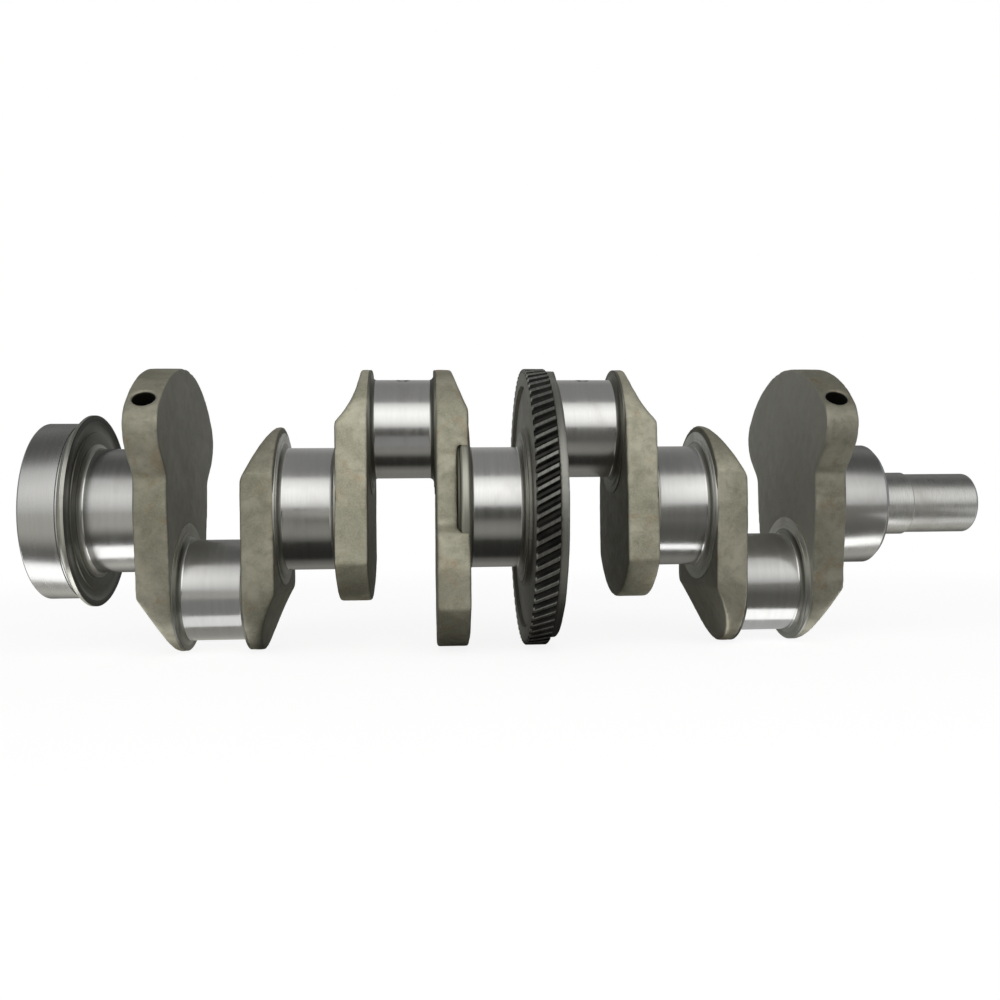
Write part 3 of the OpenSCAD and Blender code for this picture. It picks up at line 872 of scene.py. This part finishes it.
for node in ("timing_gear_key", "pulley_key"):
    key = modified(copy_of(node, f"vis_{node}"), "BEVEL", width=0.35 * MM, segments=2,
                   limit_method="ANGLE", angle_limit=math.radians(50))
    finish_piece(key, pin_steel, [node])


def flywheel_dowel():
    """The dowel, a little thicker where it is pressed in the flange."""
    lo, hi = span("flywheel_dowel")
    x0, x1 = lo[0], hi[0]
    face = span("rear_seal_journal")[0][0]
    press_r = (hi[2] - lo[2]) / 2
    outline = [(x0, 0.0), (x0, DOWEL_R - 1.1)] + arc(x0 + 1.0, DOWEL_R - 1.0, 1.0, 170, 95, 5)
    outline += [(x0 + 1.2, DOWEL_R), (face, DOWEL_R), (face, press_r - 0.2), (face + 0.2, press_r),
                (x1, press_r), (x1, 0.0)]
    obj = lathe("vis_flywheel_dowel", outline, SCREW_CIRCLE_R * MM, 96)
    finish_piece(obj, dowel_steel, ["flywheel_dowel"])


flywheel_dowel()


# ------------------------------------------------------------------ floor
def floor_material():
    """Pale and plain. It meets the white background with no line at the horizon."""
    m = Nodes("floor")
    distance = m.add("VectorMath")
    distance.operation = "LENGTH"
    m.link(m.pos, distance.inputs[0])
    near = m.joined("AddShader", m.diffuse(rgb(0.35, 0.35, 0.35)), m.glow(0.86))
    seen = m.joined("MixShader", m.ramp(distance.outputs["Value"], 0.35, 1.3), near, m.glow(1.0))
    to_camera = m.add("LightPath").outputs["Is Camera Ray"]
    return m.shown(m.joined("MixShader", to_camera, m.diffuse(rgb(0.6, 0.6, 0.6)), seen))


FLOOR = 6.0
floor_z = cad_box[0][2] - 0.0002


def flat(name, x, y, z):
    """A rectangle at height z. x and y are [from, to], in metres."""
    return mesh_object(name, [(x[0], y[0], z), (x[1], y[0], z), (x[1], y[1], z), (x[0], y[1], z)],
                       [(0, 1, 2, 3)])


floor = flat("Floor", (-FLOOR, FLOOR), (-FLOOR, FLOOR), floor_z)
floor.data.materials.append(floor_material())

# ------------------------------------------------------------------ light
scene = bpy.context.scene
scene.view_settings.view_transform = "Standard"
scene.view_settings.look = "None"
scene.view_settings.exposure = 0.0


def studio_world():
    """White to the camera, and dim and cool to everything else."""
    world = bpy.data.worlds.new("Studio")
    world.use_nodes = True
    tree = world.node_tree
    tree.nodes.clear()
    dim = tree.nodes.new("ShaderNodeBackground")
    dim.inputs[0].default_value = rgb(0.92, 0.97, 1.0)
    dim.inputs[1].default_value = 0.27
    white = tree.nodes.new("ShaderNodeBackground")
    white.inputs[0].default_value = rgb(1.0, 1.0, 1.0)
    path = tree.nodes.new("ShaderNodeLightPath")
    mix = tree.nodes.new("ShaderNodeMixShader")
    tree.links.new(path.outputs["Is Camera Ray"], mix.inputs[0])
    tree.links.new(dim.outputs[0], mix.inputs[1])
    tree.links.new(white.outputs[0], mix.inputs[2])
    tree.links.new(mix.outputs[0], tree.nodes.new("ShaderNodeOutputWorld").inputs[0])
    return world


scene.world = studio_world()


def glow_material(name, by_angle, centre, ends, x_at, x_from, x_to, color):
    """Light that changes along one measure, given as [measure, value] pairs, one list for near x_at and
    one for farther from it, with the change between x_from and x_to. The measure is degrees up from the
    front horizon, or else millimetres from front to back. Both lists start and end at the same measures."""
    m = Nodes(name)
    x, y, z = m.xyz()
    if by_angle:
        measure = m.math("MULTIPLY", m.math("ARCTAN2", z, m.math("MULTIPLY", y, -1.0)), 180 / math.pi)
    else:
        measure = m.math("MULTIPLY", y, 1 / MM)
    lo, hi = centre[0][0], centre[-1][0]
    t = m.math("DIVIDE", m.math("SUBTRACT", measure, lo), hi - lo, clamp=True)
    peak = max(v for _, v in centre + ends)
    values = []
    for stops in (centre, ends):
        ramp = m.add("ValToRGB")
        m.link(t, ramp.inputs[0])
        marks = ramp.color_ramp.elements
        while len(marks) < len(stops):
            marks.new(0.5)
        for mark, (at, value) in zip(marks, stops):
            mark.position = (at - lo) / (hi - lo)
            mark.color = rgb(value / peak, value / peak, value / peak)
        values.append(ramp.outputs[0])
    away = m.math("ABSOLUTE", m.math("SUBTRACT", x, x_at))
    tint = m.add("VectorMath")
    tint.operation = "MULTIPLY"
    m.link(m.mix(m.ramp(away, x_from, x_to), *values), tint.inputs[0])
    tint.inputs[1].default_value = color
    return m.shown(m.glow(peak, tint.outputs[0]))


def plain_glow(name, value):
    m = Nodes(name)
    return m.shown(m.glow(value))


def staged(obj, material, lights=False):
    """A studio panel: never in the picture, only in its reflections and, if it lights, in its light."""
    obj.data.materials.append(material)
    obj.visible_camera = False
    obj.visible_diffuse = lights
    obj.visible_shadow = False
    obj.visible_transmission = False
    obj.visible_volume_scatter = False


# The tent: a half cylinder along the crankshaft. Angles are degrees up from the front horizon.
TENT_R = 1.4
TENT_X = 1.9
TENT_LOW, TENT_HIGH = -3.5, 183.0
TENT_STEPS = 48
tent_verts, tent_faces = [], []
for i in range(TENT_STEPS + 1):
    a = math.radians(TENT_LOW + (TENT_HIGH - TENT_LOW) * i / TENT_STEPS)
    for x in (-TENT_X, TENT_X):
        tent_verts.append((x, -TENT_R * math.cos(a), TENT_R * math.sin(a)))
for i in range(TENT_STEPS):
    tent_faces.append((2 * i, 2 * i + 1, 2 * i + 3, 2 * i + 2))
staged(mesh_object("Tent", tent_verts, tent_faces), glow_material(
    "tent", True,
    [(-4, 0.04), (-1, 0.06), (2, 0.7), (15, 1.1), (32, 1.3), (45, 1.1), (56, 0.8), (60, 0.26),
     (75, 0.25), (120, 0.24), (140, 0.32), (180, 0.5)],
    [(-4, 0.45), (0, 0.5), (10, 0.65), (25, 0.76), (42, 0.63), (55, 0.52), (61, 0.28), (69, 0.12), (80, 0.09),
     (100, 0.085), (130, 0.17), (150, 0.13), (180, 0.2)],
    0.05, 0.3, 0.62, (1.0, 0.995, 0.98)), lights=True)

# The floor as polished metal sees it, darker under the middle as painted shadow, with bright strips below the
# ends as painted reflections
card_z = floor_z + 0.0003
strip_z = card_z + 0.0003
WARM = (1.0, 0.98, 0.9)
CARDS_MEET = 0.108
CARDS_FAR = 1.8
CARDS_Y = (-1.4, 0.4)
staged(flat("Card_floor_left", (-CARDS_FAR, CARDS_MEET), CARDS_Y, card_z), glow_material(
    "card_floor_left", False,
    [(-300, 0.07), (-250, 0.1), (-200, 0.19), (-150, 0.235), (-110, 0.245), (-95, 0.2), (-78, 0.12),
     (-68, 0.03), (-5, 0.02), (10, 0.12), (50, 0.22), (100, 0.2)],
    [(-300, 0.38), (-200, 0.39), (-150, 0.3), (-115, 0.13), (-98, 0.08), (-70, 0.07), (-10, 0.3),
     (15, 0.5), (54, 0.25), (100, 0.12)],
    -0.027, 0.135, 0.145, WARM))
staged(flat("Card_floor_right", (CARDS_MEET, CARDS_FAR), CARDS_Y, card_z), glow_material(
    "card_floor_right", False,
    [(-300, 0.12), (-200, 0.14), (-150, 0.11), (-98, 0.09), (-70, 0.1), (-10, 0.1), (15, 0.2),
     (54, 0.2), (100, 0.15)],
    [(-300, 0.17), (-200, 0.16), (-115, 0.12), (-70, 0.1), (-10, 0.3), (15, 0.4), (54, 0.2), (100, 0.1)],
    0.0, 0.2, 0.25, WARM))
# Painted reflections: glowing strips and cards that only reflections see, each under the part it brightens.
# Each strip's name, [from, to] along X and Y, and strength
for name, x, y, value in (
        ("Strip_main_2", (0.112, 0.160), (-0.044, -0.024), 1.4),
        ("Strip_pin_1", (0.176, 0.229), (-0.041, -0.021), 1.3),
        ("Strip_pin_4", (-0.229, -0.166), (-0.048, -0.027), 0.85),
        ("Card_pin_1", (0.176, 0.229), (-0.021, 0.03), 0.42),
        ("Card_pin_3", (-0.105, -0.03), (-0.42, -0.17), 0.26),
        ("Card_pin_4", (-0.245, -0.17), (-0.15, -0.05), 0.21),
        ("Strip_main_1", (0.231, 0.335), (-0.056, -0.024), 1.7),
        ("Strip_nose", (0.335, 0.46), (-0.060, -0.014), 0.6),
        ("Card_nose", (0.43, 0.9), (-0.25, -0.062), 0.46),
        ("Strip_main_5", (-0.290, -0.231), (-0.064, -0.018), 1.4),
        ("Strip_flange", (-0.46, -0.290), (-0.070, -0.024), 1.4)):
    staged(flat(name, x, y, strip_z), plain_glow(name.lower(), value))

# ------------------------------------------------------------------ camera
CAMERA_AT = (-46.4, -676.57, -11.17)
YAW, PITCH, ROLL = -0.0753, 0.0238, 0.0108
SENSOR = 36.0
# The focal length over the picture's width
FOCAL = 0.94712
cam_data = bpy.data.cameras.new("Camera")
cam_data.sensor_width = SENSOR
cam_data.sensor_fit = "HORIZONTAL"
cam_data.lens = FOCAL * SENSOR
cam_data.clip_start = 0.01
cam_data.clip_end = 50.0
camera = bpy.data.objects.new("Camera", cam_data)
scene.collection.objects.link(camera)
turn = Matrix.Rotation(YAW, 3, "Z") @ Matrix.Rotation(PITCH, 3, "X") @ Matrix.Rotation(ROLL, 3, "Y")
right, ahead, up = turn.col[0], turn.col[1], turn.col[2]
place = Matrix((right, up, -ahead)).transposed().to_4x4()
place.translation = Vector(CAMERA_AT) * MM
camera.matrix_world = place
scene.camera = camera
